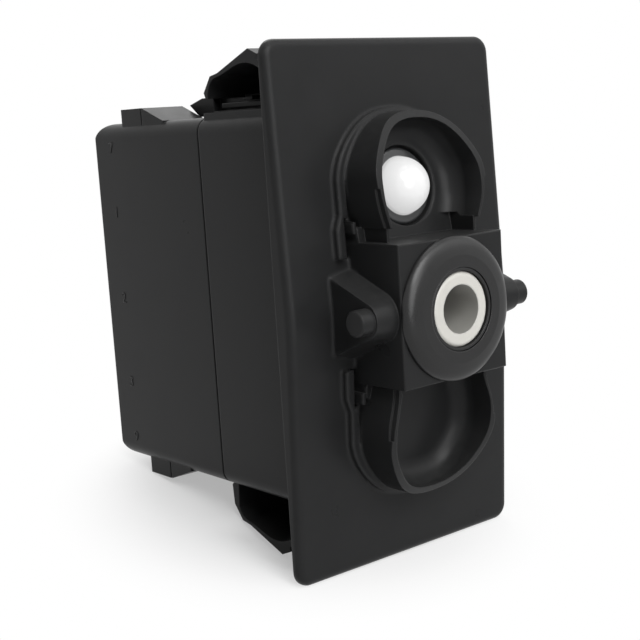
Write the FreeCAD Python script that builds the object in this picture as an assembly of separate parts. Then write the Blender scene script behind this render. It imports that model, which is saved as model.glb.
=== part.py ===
"""Sealed panel rocker switch, shown without its clip-on rocker cap.

Millimetres. X is to the right seen from the front, Y runs back through the panel, Z is up.
The origin is the middle of the plane where the face plate seats on the panel.
"""
import FreeCAD
import Part

import math
import os

V = FreeCAD.Vector

# face plate
PLATE_W = 27.4            # width along X
PLATE_H = 48.4            # height along Z
PLATE_T_END = 0.8         # thickness at the top and bottom edges
PLATE_T_MID = 2.0         # thickness on the centre line, where the two front planes meet
PLATE_CORNER_R = 1.5      # outline corner radius
PLATE_EDGE_R = 0.65       # rounding round the front edge
RIDGE_R = 30.0            # blend where the two front planes meet

# body behind the panel
BODY_X = 10.5             # half width of collar and base
BODY_Z = 18.1             # half height of collar and base
BODY_R = 1.5              # rounding of the four long edges
COLLAR_D = 14.5           # collar depth behind the seat
BASE_END = 34.4           # rear end of the base
BASE_REAR_R = 2.4         # rounding of the rear top and bottom edges
BASE_SIDE_R = 0.3         # rounding of the rear side edges
SEAM_W = 0.25             # groove between collar and base
SEAM_DEPTH = 0.3
WALL = 1.2                # wall of collar and base
FLOOR_T = 1.2             # web left behind the seat plane
PLUG_GAP = 0.1            # clearance of the base plug in the collar
PLUG_Y = 11.6             # front end of the base plug
WEB_Y0 = 24.0             # terminal wall, front
WEB_Y1 = 26.6             # terminal wall, rear

PLUG_WALL = 1.1           # wall of the base plug
SHROUD_END_T = 0.3        # extra wall of the connector pocket at its top and bottom
SHROUD_R = 0.8            # its inner corner radius
DIVIDER_X = 0.5           # half width of the wall between the poles
DIVIDER_SET = 2.5         # it starts this far behind the plug's front
BITE = 0.5                # hidden overlap of pieces of one moulding

# centre box in front of the plate
BOX_X = 6.45
BOX_Z = 6.35
BOX_FRONT = 8.2           # height of the box in front of the seat
BOX_WALL = 1.1
BOX_EDGE_R = 0.15
SEAL_HOLE_R = 5.0

# lamp tower above and blank tower below
RIM_Y = 6.5               # rim height in front of the seat at the feet
RIM_FALL_R = 16.0         # radius on which the rim falls away towards the ends
RIM_FALL_Z = 9.0          # height at which it starts to fall
RIM_END_Z = 18.6          # the fall is drawn up to this height
RIM_LOW_Z = 6.0           # the rim's straight part is drawn down to this height
RIM_LOW_DROP = 0.1        # and lies this much lower there
RIM_T = 0.65              # wall at the rim
LEG_Z = 11.1              # the legs' front edges below this height are set in
LEG_SET_IN = 0.22
LEG_NOTCH_D = 0.6         # depth of that setting in, from the rim
LEG_T = 0.5               # wall of the legs
WEB_T = 0.28              # thin web that joins each upper leg to the box
WEB_REAR = 1.0
UPPER_FOOT = 7.6          # height at which the upper legs end
LOWER_FOOT = 6.6
CUP_FLOOR_Y = 3.0         # cup floor in front of the seat, at CUP_FLOOR_Z
CUP_FLOOR_Z = 7.0
CUP_TILT = 8.5            # degrees, the floor leans back towards the ends
CUP_BLEND_R = 1.9
STEP_X = 6.35             # half width of the step between box and cup
STEP_Z = 7.7
ARCH = ((6.62, 12.2), (6.33, 13.2), (5.83, 14.2), (5.3, 15.0), (4.45, 16.0), (3.35, 16.83),
        (1.9, 17.38))
ARCH_TOP = 17.57
LEGS = ((6.45, 9.8), (6.15, 8.7))
LEG_FOOT_X = 5.75
LEG_X = 6.62              # half width of the tower at LEG_Z
CUT_FRONT = -9.0          # prisms that shape the towers start this far in front
TOWER_ROOT = 0.6          # towers end this far behind the seat plane
SCOOP_ROOT = 1.0          # the scoops' outline ends this far behind it
SCOOP_X = 9.0             # half width and top of the block that a scoop is cut from
SCOOP_TOP = 20.0
SCOOP_FRONT = -9.5
SCOOP_LOW = 1.5           # it starts this far below the box's top
MOUTH_LAP = 0.4           # the mouth at a cup's foot runs this far into the cup
STEP_LAP = 0.6            # the step runs this far under the box's top
STEP_ROOT = 0.2

# low skirt round each tower
SKIRT = ((8.1, 5.0), (8.1, 7.6), (7.6, 8.9), (7.6, 11.9), (7.05, 13.7), (5.6, 15.72),
         (4.1, 16.95), (2.34, 17.68))
SKIRT_TOP = 17.95
SKIRT_ARCH_Z = 11.9       # the rails beside the legs end here
SKIRT_H = 0.7             # above the plate's front
SKIRT_SIDE_T = 0.85
SKIRT_CUT = 6.0           # prisms that shape the skirt start this far in front
POCKET_FLOOR = 0.9        # the pockets beside the step end this far in front of the seat
POCKET_FRONT = 4.0
POCKET_Z = (5.0, 8.6)
HOOK_X = (6.45, 6.75)     # small rib in each pocket
HOOK = ((-0.5, 7.1), (-3.0, 7.15), (-2.9, 8.2), (-0.5, 8.3))

# pivot pins and the gussets that carry them
PIN_Y = -6.5
PIN_R = 1.17
PIN_X = 10.4
PIN_EDGE = 0.12
GUSSET_X = 8.95
GUSSET_NOSE_IN = 2.45     # nose radius at the box
GUSSET_NOSE_OUT = 1.6     # nose radius at the pin
GUSSET_FRONT = 7.85       # nose in front of the seat, at the box
GUSSET_HALF_IN = 4.3      # half height at the plate, at the box
GUSSET_HALF_OUT = 3.6
GUSSET_ROOT_Y = -1.6
GUSSET_BACK = 0.3         # the gussets run this far behind the seat plane
PIN_ROOT = 0.6            # the pins start this far inside the gussets

# snap wings and latch arms
WING_X = 9.2
ARM_X = 4.7
ARM_Z0 = 18.25
ARM_TOP = 20.1
ARM_Y0 = 11.9             # front end of an arm
ARM_UNDER_Y = 22.5        # its underside rises from here to the tip
ARM_TIP = (24.2, 19.5)
ARM_FALL_Y = 21.9         # its top falls from here to the tip
ARM_ROOT = 0.4            # it is rooted this deep in the collar
WING_CREST = 24.0         # height of the crest as drawn here
WING_HIDE = 0.2           # the crests stay this far inside the plate's ends
WING_OUT = ((14.7, 19.85), (14.95, 20.4), (13.75, 21.9), (12.5, 22.13), (7.5, WING_CREST), (6.2, 23.45),
            (6.2, 22.95), (5.0, 22.5), (5.0, 22.0), (3.8, 21.6), (3.8, 21.1), (2.5, 20.8), (2.5, 20.2))
WING_IN = ((3.2, 20.2), (4.3, 21.0), (5.6, 21.95), (7.0, 22.6), (8.2, 22.78), (9.6, 22.62), (11.0, 22.2),
           (12.3, 21.85), (13.4, 21.55), (14.2, 20.6), (14.35, 19.85))
HEEL = ((14.0, 17.9), (14.5, 17.9), (15.1, 18.4), (14.95, 20.4), (14.2, 20.6))   # lower wing only
WING_FOOT_Y = (13.3, 14.8)   # foot that joins a wing to its arm
WING_FOOT_Z = (19.6, 20.15)
GROOVE_Y0 = 11.0
GROOVE_Z = (18.7, 19.95)  # groove along each side of a latch arm, with a bar in it
GROOVE_D = 0.9
GROOVE_END = 19.9
BAR_Z = (18.92, 19.42)
BAR_END = 18.4
RIB_X0 = 9.0
RIB_X1 = 9.9
RIB_Z = 18.5
RIB_END = 14.2

# latch lugs on the base
LUG_X0 = 5.0
LUG_X1 = 10.0
LUG_Z = 19.5
LUG_STOP_Y = 25.4
LUG_STOP_L = 3.8
LUG_SLIT = 0.2
LUG_RAMP_L = 3.8

# rubber seal ring in the box front
SEAL_R = 6.5
SEAL_FRONT = -9.15
SEAL_PROFILE = ((0.06, -8.5), (0.35, -8.8), (0.9, -9.02), (1.7, SEAL_FRONT))   # in from SEAL_R
SEAL_BALL_R = 4.58        # hollow in which the lip turns with the lever
LIP_BALL_R = 4.5
LIP_FRONT = -9.1
LIP_REAR = -7.85
LIP_GAP = 0.02            # between the lip and the tube that it is moulded round
SEAL_FLANGE_R = 5.15
SEAL_FLANGE_T = 0.7
SEAL_GAP = 0.05
SEAL_CORE_R = 1.0         # the ring is turned from this radius and bored to the next
SEAL_BORE_R = 1.5

# lever
TUBE_R = 3.4
TUBE_BORE_R = 2.2
TUBE_FRONT = -9.0
TUBE_BORE_END = -1.0
TUBE_LIP_R = 0.45
STEM_R = 2.9
STEM_Y = -5.2
LEVER_TILT = 12.0         # degrees each way
TRUNNION_R = 1.2
TRUNNION_GAP = 0.05
TRUNNION_X = 6.1
YOKE_Y0 = 2.2
YOKE_Y1 = 4.6
POLE_X = 4.9
BARREL_R = 2.3
BARREL_END = 11.5
PLUNGER_R = 1.5
PLUNGER_GAP = 0.05
PLUNGER_BORE_Y = 3.5
NOSE_GAP = 0.05
PLUNGER_Y0 = 7.4
POCKET_DEPTH = 1.2        # spring pocket in the plunger
POCKET_WALL = 0.35
PEG_R = 0.7               # peg in that pocket
PEG_SINK = 0.4            # it ends this far inside
PEG_GAP = 0.02
SPRING_SEAT_GAP = 0.02
SPRING_R = 1.12           # mean coil radius
SPRING_WIRE_R = 0.17
SPRING_TURNS = 4.5

# contacts
PIVOT_Y = 17.1            # contact pivot axis
BRIDGE_W = 5.0
BRIDGE_Y0 = 15.5
BRIDGE_Y1 = 16.5
BRIDGE_Z = 9.3
BRIDGE_HUB_Z = 1.6
SHOULDER_Z = 5.2          # the hollow under the plunger ends here
PAD_Z = 6.6               # the flat contact pads start here
CONTACT_Z = 8.0
CONTACT_RATIO = 0.54      # turn of the contact for each degree of lever tilt
MOVING_TIP_R = 1.2
FIXED_TIP_R = 1.3
TIP_T = 0.6
TIP_CROWN_R = 5.0
CONTACT_GAP = 0.98
RIDGE_ROD_R = 0.6
RIDGE_GAP = 0.06

# terminals
BLADE_W = 6.3
BLADE_T = 0.8
BLADE_END = 33.4
BLADE_BEVEL = 1.0
BLADE_HOLE_R = 0.85
BLADE_HOLE_IN = 2.9       # hole centre before the blade's end
PAD_X = 2.2               # half width of the pad that carries a fixed tip
PAD_PAST = 0.2            # it runs this far past the tip
FULCRUM_TRIM = 0.3        # the fulcrum is this much narrower than the bridge, each side
FULCRUM_L = 2.0
SLOT_GAP = 0.03
ROW_Z = 9.1               # outer contact rows
LAMP_ROW_Z = 15.3
LAMP_BLADE_Y = 19.0

# lamp
LAMP_Z = 10.9             # lamp axis at the cup floor
RECESS_R = 3.7
RECESS_DEPTH = 0.95
RECESS_AHEAD = 3.0        # its cutter starts this far in front of the cup floor
COLLAR_R = 3.5            # collar of the lens, in the recess
COLLAR_DEPTH = 0.3        # front of that collar below the cup floor
COLLAR_EDGE_R = 0.25
LENS_R = 2.65
LENS_GAP = 0.08
LENS_SINK = 0.4           # centre of the dome below the cup floor
LENS_END = 5.2            # depth of the lens's rear end behind the cup floor
LENS_BORE = (0.5, 6.5)    # start and end of the bore round it
LENS_BOSS_R = 4.1         # boss round the lens behind the floor
LENS_BOSS_SEAT_R = 3.3    # it ends square to the lamp axis, clear of the floor web out to here
LED_R = 1.5
LED_BORE_R = 1.7
LED_CROWN = 2.7
LED_FLANGE_R = 2.3
LED_FLANGE_T = 0.8
LEAD_R = 0.25
LEAD_X = 0.65
LEAD_STRAIGHT = 1.6       # straight run behind the lamp
RESISTOR_R = 0.85
RESISTOR_L = 3.6
RESISTOR_Y = 11.6
RESISTOR_Z = 13.2
RESISTOR_END_R = 0.3
LEAD_KNEE_Y = 13.5        # bend of the left-hand lead
LEAD_KNEE_DROP = 1.6
LEAD_RUN = 1.2            # straight run before a blade and behind the resistor
LEAD_NEAR = 1.0           # straight run before the resistor
LEAD_LAP = 0.6            # length on the blade

DEG = math.pi / 180.0


def floor_y(z):
    """Y of the cup floor at height z, for z above the centre."""
    return -CUP_FLOOR_Y + (z - CUP_FLOOR_Z) * math.tan(CUP_TILT * DEG)


def block(x0, x1, y0, y1, z0, z1):
    return Part.makeBox(x1 - x0, y1 - y0, z1 - z0, V(x0, y0, z0))


def side_prism(points, x0, x1):
    """Prism along X from (y, z) points."""
    pts = [V(x0, y, z) for y, z in points]
    return Part.Face(Part.makePolygon(pts + pts[:1])).extrude(V(x1 - x0, 0, 0))


def front_prism(edges, depth):
    """Prism along Y from a closed list of edges."""
    return Part.Face(Part.Wire(edges)).extrude(V(0, depth, 0))


def mirror_z(shape):
    return shape.mirror(V(0, 0, 0), V(0, 0, 1))


def mirror_x(shape):
    return shape.mirror(V(0, 0, 0), V(1, 0, 0))


def both_ends(shape):
    return shape.fuse(mirror_z(shape))


def rod(x, z, y0, y1, r):
    """Cylinder along Y."""
    return Part.makeCylinder(r, y1 - y0, V(x, y0, z), V(0, 1, 0))


def cross_rod(y, z, x0, x1, r):
    """Cylinder along X."""
    return Part.makeCylinder(r, x1 - x0, V(x0, y, z), V(1, 0, 0))


def edges_where(shape, test):
    found = []
    for edge in shape.Edges:
        points = [edge.valueAt(edge.FirstParameter + k * (edge.LastParameter - edge.FirstParameter) / 4.0)
                  for k in range(5)]
        if all(test(p) for p in points):
            found.append(edge)
    return found


def rounded(shape, radius, test):
    return shape.makeFillet(radius, edges_where(shape, test))


def round_block(hx, hz, y0, y1, radius):
    """Block along Y with its four long edges rounded."""
    body = block(-hx, hx, y0, y1, -hz, hz)
    return rounded(body, radius, lambda p: abs(abs(p.x) - hx) < 1e-6 and abs(abs(p.z) - hz) < 1e-6)


def crowned(extra):
    """Block under the crowned plate front, raised by extra."""
    h = PLATE_H / 2
    w = PLATE_W / 2
    lean = math.atan2(PLATE_T_MID - PLATE_T_END, h)
    end = -PLATE_T_END - extra
    mid = -PLATE_T_MID - extra
    z = RIDGE_R * math.sin(lean)
    y = mid + z * math.tan(lean)
    top = mid + RIDGE_R * (1.0 / math.cos(lean) - 1.0)
    arc = Part.Arc(V(-w, y, -z), V(-w, top, 0), V(-w, y, z)).toShape()
    pts = [V(-w, y, z), V(-w, end, h), V(-w, 0, h), V(-w, 0, -h), V(-w, end, -h), V(-w, y, -z)]
    lines = [Part.makeLine(a, b) for a, b in zip(pts, pts[1:])]
    return Part.Face(Part.Wire([arc] + lines)).extrude(V(2 * w, 0, 0))


def face_plate():
    body = crowned(0)
    w = PLATE_W / 2
    h = PLATE_H / 2
    body = rounded(body, PLATE_CORNER_R, lambda p: abs(abs(p.x) - w) < 1e-6 and abs(abs(p.z) - h) < 1e-6)
    rim = []
    for edge in body.Edges:
        mid = edge.valueAt((edge.FirstParameter + edge.LastParameter) / 2)
        outer = abs(mid.x) > w - 1.0 or abs(mid.z) > h - 1.0
        if outer and mid.y < -PLATE_T_END / 2 and not is_along_y(edge):
            rim.append(edge)
    return body.makeFillet(PLATE_EDGE_R, rim)


def is_along_y(edge):
    a = edge.valueAt(edge.FirstParameter)
    b = edge.valueAt(edge.LastParameter)
    return abs(a.x - b.x) < 1e-6 and abs(a.z - b.z) < 1e-6


def mirrored_points(points, top):
    """Right half points from the foot up, then the top, then the left half down."""
    left = [(-x, z) for x, z in reversed(points)]
    return list(points) + [(0.0, top)] + left


def spline(points, y):
    curve = Part.BSplineCurve()
    curve.interpolate([V(x, y, z) for x, z in points])
    return curve.toShape()


def line(a, b, y):
    return Part.makeLine(V(a[0], y, a[1]), V(b[0], y, b[1]))


def tower_edges(foot):
    """Outline of a tower: one spline over legs and arch, and a straight foot."""
    side = [(LEG_FOOT_X, foot)] + list(reversed(LEGS)) + [(LEG_X, LEG_Z)] + list(ARCH)
    return [spline(mirrored_points(side, ARCH_TOP), CUT_FRONT),
            line((-LEG_FOOT_X, foot), (LEG_FOOT_X, foot), CUT_FRONT)]


def leg_notch(foot):
    """Narrow step along the front outer edge of both legs."""
    side = [(LEG_FOOT_X, foot)] + list(reversed(LEGS)) + [(LEG_X, LEG_Z)]
    inner = [(x - LEG_SET_IN, z) for x, z in reversed(side)]
    far = BODY_X
    outline = [spline(inner, CUT_FRONT), line(inner[-1], (far, foot), CUT_FRONT),
               line((far, foot), (far, LEG_Z), CUT_FRONT), line((far, LEG_Z), inner[0], CUT_FRONT)]
    notch = front_prism(outline, -CUT_FRONT - RIM_Y + LEG_NOTCH_D)
    return notch.fuse(mirror_x(notch))


def leg_webs():
    """Thin webs that carry the upper legs' outer faces on down to the box."""
    x = LEG_FOOT_X - LEG_SET_IN
    web = block(x - WEB_T, x, -RIM_Y + LEG_NOTCH_D, -WEB_REAR, BOX_Z - 0.3, UPPER_FOOT + 0.1)
    return web.fuse(mirror_x(web))


def cup_edges(foot, y):
    """Inside outline of a tower's wall."""
    wall = [(LEG_FOOT_X - LEG_T, foot)]
    wall += [(x - LEG_T, z) for x, z in reversed(LEGS)]
    wall.append((LEG_X - (LEG_T + RIM_T) / 2, LEG_Z))
    for x, z in ARCH:
        lean = min(max((z - LEG_Z) / (ARCH_TOP - LEG_Z), 0.0), 1.0)
        wall.append((x - RIM_T * math.sqrt(1.0 - lean * lean), z - RIM_T * lean))
    right = wall[0]
    return [spline(mirrored_points(wall, ARCH_TOP - RIM_T), y), line((-right[0], foot), right, y)]


def tower_side():
    """Slab along X whose front is the rim's profile, straight at the feet and falling on an arc."""
    cy = RIM_FALL_R - RIM_Y

    def fall(z):
        return cy - math.sqrt(RIM_FALL_R ** 2 - (z - RIM_FALL_Z) ** 2)

    x = -BODY_X
    p = [V(x, fall(z), z) for z in (RIM_FALL_Z, (RIM_FALL_Z + RIM_END_Z) / 2, RIM_END_Z)]
    arc = Part.Arc(p[0], p[1], p[2]).toShape()
    tail = [V(x, SCOOP_ROOT, RIM_END_Z), V(x, SCOOP_ROOT, RIM_LOW_Z),
            V(x, -RIM_Y + RIM_LOW_DROP, RIM_LOW_Z)]
    lines = [Part.makeLine(a, b) for a, b in zip([p[2]] + tail, tail + [p[0]])]
    return Part.Face(Part.Wire([arc] + lines)).extrude(V(2 * BODY_X, 0, 0))


def cup_cutter(foot):
    """What is scooped out of a tower: its inner outline, down to the tilted floor, with a wide blend."""
    low = BOX_Z - SCOOP_LOW
    far = SCOOP_TOP
    section = [(floor_y(low), low), (SCOOP_FRONT, low), (SCOOP_FRONT, far), (floor_y(far), far)]
    front = side_prism(section, -SCOOP_X, SCOOP_X)
    body = front_prism(cup_edges(low, CUT_FRONT), SCOOP_ROOT - CUT_FRONT).common(front)
    blend = []
    for edge in body.Edges:
        p = edge.valueAt((edge.FirstParameter + edge.LastParameter) / 2)
        if abs(p.y - floor_y(p.z)) < 1e-3 and p.z > low + 0.05:
            blend.append(edge)
    body = body.makeFillet(CUP_BLEND_R, blend)
    mouth_x = LEG_FOOT_X - LEG_T
    mouth = block(-mouth_x, mouth_x, CUT_FRONT, SCOOP_ROOT, BOX_Z, foot + MOUTH_LAP)
    above = block(-SCOOP_X, SCOOP_X, SCOOP_FRONT - BITE, SCOOP_ROOT, foot, far)
    return body.common(above).fuse(mouth.common(front))


def tower(foot):
    """Solid of a tower before its cup is scooped out, upper end."""
    body = front_prism(tower_edges(foot), TOWER_ROOT - CUT_FRONT)
    return body.common(tower_side()).cut(leg_notch(foot))


def step_block():
    """Step between the box and the cup floor."""
    z0 = BOX_Z - STEP_LAP
    pts = [(STEP_ROOT, z0), (floor_y(z0), z0), (floor_y(STEP_Z), STEP_Z), (STEP_ROOT, STEP_Z)]
    return side_prism(pts, -STEP_X, STEP_X)


def skirt():
    """Low step round a tower: solid round the arch, a rail beside each leg."""
    rail = [(x, z) for x, z in SKIRT if z <= SKIRT_ARCH_Z]
    arch = [(x, z) for x, z in SKIRT if z >= SKIRT_ARCH_Z]
    y = -SKIRT_CUT
    low = [(-x, z) for x, z in reversed(rail)] + rail
    edges = [spline(mirrored_points(arch, SKIRT_TOP), y)]
    edges += [line(p, q, y) for p, q in zip(low, low[1:])]
    body = front_prism(edges, SKIRT_CUT).common(crowned(SKIRT_H))
    inner = [(x - SKIRT_SIDE_T, z) for x, z in rail]
    inner = [(inner[0][0], inner[0][1] - BITE)] + inner[1:]
    slot = [(LEG_FOOT_X, inner[0][1])] + inner + [(LEG_FOOT_X, SKIRT_ARCH_Z)]
    slot = front_prism([line(p, q, y) for p, q in zip(slot, slot[1:] + slot[:1])], SKIRT_CUT)
    middle = block(-LEG_FOOT_X - 0.1, LEG_FOOT_X + 0.1, y, 0.0, 0.0, SKIRT_ARCH_Z)
    return body.cut(slot).cut(mirror_x(slot)).cut(middle)


def pocket_cutter():
    """Side pockets between the skirt and the step, sunk into the plate."""
    x0 = STEP_X
    x1 = SKIRT[0][0] - SKIRT_SIDE_T
    pocket = block(x0, x1, -POCKET_FRONT, -POCKET_FLOOR, POCKET_Z[0], POCKET_Z[1])
    return pocket.fuse(mirror_x(pocket))


def hook_rib():
    """Small rib in the pocket beside the upper and lower towers."""
    rib = side_prism(HOOK, HOOK_X[0], HOOK_X[1])
    return rib.fuse(mirror_x(rib))


def centre_box():
    body = block(-BOX_X, BOX_X, -BOX_FRONT, 0.2, -BOX_Z, BOX_Z)
    return rounded(body, BOX_EDGE_R, lambda p: p.y < -1.0 and abs(p.y + BOX_FRONT) < 1e-6)


def gusset_wire(x, nose, half, cy):
    """Forward-pointing V with a round nose, at X."""
    root = V(x, GUSSET_ROOT_Y, half)
    d = math.hypot(GUSSET_ROOT_Y - cy, half)
    lean = math.atan2(half, GUSSET_ROOT_Y - cy) + math.acos(nose / d)
    top = V(x, cy + nose * math.cos(lean), nose * math.sin(lean))
    low = V(x, top.y, -top.z)
    tip = V(x, cy - nose, 0)
    root_low = V(x, GUSSET_ROOT_Y, -half)
    back = [V(x, GUSSET_BACK, half), V(x, GUSSET_BACK, -half)]
    return Part.Wire([Part.Arc(top, tip, low).toShape(), Part.makeLine(low, root_low),
                      Part.makeLine(root_low, back[1]), Part.makeLine(back[1], back[0]),
                      Part.makeLine(back[0], root), Part.makeLine(root, top)])


def gusset():
    """Right-hand gusset with its pin."""
    inner = gusset_wire(BOX_X - BITE, GUSSET_NOSE_IN, GUSSET_HALF_IN, GUSSET_NOSE_IN - GUSSET_FRONT)
    outer = gusset_wire(GUSSET_X, GUSSET_NOSE_OUT, GUSSET_HALF_OUT, GUSSET_NOSE_OUT - GUSSET_FRONT)
    body = Part.makeLoft([inner, outer], True, True)
    return body.fuse(pivot_pin())


def pivot_pin():
    """Stub pin along X, on which the rocker cap clips."""
    pin = cross_rod(PIN_Y, 0, GUSSET_X - PIN_ROOT, PIN_X, PIN_R)
    return pin.makeChamfer(PIN_EDGE, edges_where(pin, lambda p: abs(p.x - PIN_X) < 1e-6))


def wing_points(drawn):
    """Points of a wing's section, stretched upwards so that the crest keeps inside the plate's end."""
    rise = (PLATE_H / 2 - WING_HIDE - ARM_TOP) / (WING_CREST - ARM_TOP)
    return [V(-WING_X, y, ARM_TOP + (z - ARM_TOP) * rise) for y, z in drawn]


def wing_section():
    """Closed (y, z) section of a wing: straight outside, splined inside."""
    curve = Part.BSplineCurve()
    curve.interpolate(wing_points(WING_IN))
    outside = wing_points((WING_IN[-1],) + WING_OUT + (WING_IN[0],))
    edges = [Part.makeLine(p, q) for p, q in zip(outside, outside[1:])]
    return Part.Face(Part.Wire([curve.toShape()] + edges)).extrude(V(2 * WING_X, 0, 0))


def latch_arm():
    """Stiff arm over the base, with a grooved bar along each side."""
    root = BODY_Z - ARM_ROOT
    section = [(ARM_Y0, root), (COLLAR_D, root), (COLLAR_D, ARM_Z0), (ARM_UNDER_Y, ARM_Z0), ARM_TIP,
               (ARM_FALL_Y, ARM_TOP), (ARM_Y0, ARM_TOP)]
    arm = side_prism(section, -ARM_X, ARM_X)
    groove = block(ARM_X - GROOVE_D, ARM_X + 1, GROOVE_Y0, GROOVE_END, GROOVE_Z[0], GROOVE_Z[1])
    bar = block(ARM_X - GROOVE_D - BITE, ARM_X, GROOVE_Y0, BAR_END, BAR_Z[0], BAR_Z[1])
    groove = groove.cut(bar)
    return arm.cut(groove).cut(mirror_x(groove))


def snap_wing():
    """Latch arm on the collar with the springy wing that grips the panel."""
    foot = block(-ARM_X, ARM_X, WING_FOOT_Y[0], WING_FOOT_Y[1], WING_FOOT_Z[0], WING_FOOT_Z[1])
    return latch_arm().fuse([wing_section(), foot])


def wing_heel():
    """Rear wall that joins the lower wing to the collar, given for the upper end."""
    return side_prism(HEEL, -WING_X, WING_X)


def guide_ribs():
    """Pair of low ribs on the collar's top."""
    rib = block(RIB_X0, RIB_X1, -0.1, RIB_END, BODY_Z - 0.6, RIB_Z)
    return rib.fuse(mirror_x(rib))


def lamp_point(depth):
    """Point on the lamp axis, depth behind the cup floor."""
    t = CUP_TILT * DEG
    return V(0, floor_y(LAMP_Z) + depth * math.cos(t), LAMP_Z - depth * math.sin(t))


def lamp_dir():
    t = CUP_TILT * DEG
    return V(0, math.cos(t), -math.sin(t))


def lamp_rod(depth0, depth1, r):
    return Part.makeCylinder(r, depth1 - depth0, lamp_point(depth0), lamp_dir())


def lamp_hole():
    """Round recess for the lens collar and the bore behind it."""
    recess = lamp_rod(-RECESS_AHEAD, RECESS_DEPTH, RECESS_R)
    return recess.fuse(lamp_rod(LENS_BORE[0], LENS_BORE[1], LENS_R + LENS_GAP))


def bracket_inside():
    """Hollow of the collar and of the centre box."""
    r = BODY_R - 0.4
    collar = round_block(BODY_X - WALL, BODY_Z - WALL, FLOOR_T, COLLAR_D + 1, r)
    well = block(-BOX_X + BOX_WALL, BOX_X - BOX_WALL, -BOX_FRONT + BOX_WALL, FLOOR_T + 0.5,
                 -BOX_Z + BOX_WALL, BOX_Z - BOX_WALL)
    hole = rod(0, 0, -BOX_FRONT - 1, 0, SEAL_HOLE_R)
    pivots = cross_rod(PIN_Y, 0, -TRUNNION_X - 0.1, TRUNNION_X + 0.1, TRUNNION_R + TRUNNION_GAP)
    return collar.fuse([well, hole, pivots])


def bracket():
    """Face plate, collar, centre box, towers, pivot pins and snap wings: one moulding."""
    body = face_plate().fuse(round_block(BODY_X, BODY_Z, -0.3, COLLAR_D, BODY_R))
    upper = tower(UPPER_FOOT)
    lower = mirror_z(tower(LOWER_FOOT))
    body = body.fuse([upper, lower, both_ends(skirt())])
    pockets = pocket_cutter()
    body = body.cut(pockets).cut(mirror_z(pockets))
    body = body.fuse([both_ends(step_block()), both_ends(hook_rib())])
    body = body.cut(cup_cutter(UPPER_FOOT)).cut(mirror_z(cup_cutter(LOWER_FOOT)))
    right = gusset()
    body = body.fuse([centre_box(), right, mirror_x(right), leg_webs(), guide_ribs()])
    body = body.fuse([both_ends(snap_wing()), mirror_z(wing_heel())]).removeSplitter()
    boss = lamp_rod(seat_depth() - FLOOR_T, seat_depth(), LENS_BOSS_R)
    return body.cut(lamp_hole()).cut(bracket_inside().cut(boss))


def latch_lug():
    """Stop block and ramped catch at one corner of the base, right-hand top."""
    root = BODY_Z - WALL / 2
    crest = LUG_STOP_Y - LUG_SLIT
    stop = block(LUG_X0, LUG_X1, LUG_STOP_Y, LUG_STOP_Y + LUG_STOP_L, root, LUG_Z)
    ramp = side_prism([(crest, root), (crest, LUG_Z), (crest - LUG_RAMP_L, BODY_Z),
                       (crest - LUG_RAMP_L, root)], LUG_X0, LUG_X1)
    return stop.fuse(ramp)


def terminal_places():
    """Number, X and Z of each terminal."""
    rows = [(1, -POLE_X, ROW_Z), (2, -POLE_X, 0.0), (3, -POLE_X, -ROW_Z),
            (4, POLE_X, ROW_Z), (5, POLE_X, 0.0), (6, POLE_X, -ROW_Z),
            (7, -POLE_X, LAMP_ROW_Z), (8, POLE_X, LAMP_ROW_Z)]
    return rows


def base_slots():
    """Slots for the blades, and the two spare ones below."""
    w = BLADE_W / 2 + SLOT_GAP
    t = BLADE_T / 2 + SLOT_GAP
    places = [(x, z) for _, x, z in terminal_places()] + [(-POLE_X, -LAMP_ROW_Z), (POLE_X, -LAMP_ROW_Z)]
    slots = [block(x - w, x + w, WEB_Y0 - 1, WEB_Y1 + 1, z - t, z + t) for x, z in places]
    return slots[0].fuse(slots[1:])


def base_outside():
    """Outer form of the base: long edges, rear ends and rear side edges each with their own radius."""
    h = 2 * BODY_Z

    def at_rear(p, axis, half):
        return abs(p.y - BASE_END) < 1e-6 and abs(abs(getattr(p, axis)) - half) < 1e-6

    body = block(-BODY_X, BODY_X, COLLAR_D, BASE_END, -BODY_Z, BODY_Z)
    ends = rounded(body, BASE_REAR_R, lambda p: at_rear(p, "z", BODY_Z))
    tall = block(-BODY_X, BODY_X, COLLAR_D, BASE_END, -h, h)
    sides = rounded(tall, BASE_SIDE_R, lambda p: at_rear(p, "x", BODY_X))
    body = round_block(BODY_X, BODY_Z, COLLAR_D, BASE_END + 1, BODY_R).common(ends).common(sides)
    seam = block(-h, h, COLLAR_D - 1, COLLAR_D + SEAM_W, -h, h)
    core = round_block(BODY_X - SEAM_DEPTH, BODY_Z - SEAM_DEPTH, COLLAR_D - 2, COLLAR_D + 2, BODY_R)
    return body.cut(seam.cut(core))


def rear_base():
    """Base moulding: plug, contact chamber, terminal wall and rear connector shroud."""
    body = base_outside()
    inset = WALL + PLUG_GAP
    body = body.fuse(round_block(BODY_X - inset, BODY_Z - inset, PLUG_Y, COLLAR_D + 1, BODY_R - BITE))
    inner = inset + PLUG_WALL
    front = block(-BODY_X + inner, BODY_X - inner, PLUG_Y - 1, WEB_Y0, -BODY_Z + inner, BODY_Z - inner)
    rear = round_block(BODY_X - WALL, BODY_Z - WALL - SHROUD_END_T, WEB_Y1, BASE_END + 1, SHROUD_R)
    body = body.cut(front).cut(rear).cut(base_slots())
    tall = BODY_Z - inner + BITE
    divider = block(-DIVIDER_X, DIVIDER_X, PLUG_Y + DIVIDER_SET, WEB_Y0 + BITE, -tall, tall)
    lug = latch_lug()
    lugs = both_ends(lug.fuse(mirror_x(lug)))
    body = body.fuse([divider, lugs.cut(rear)])
    return body.removeSplitter()


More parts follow.
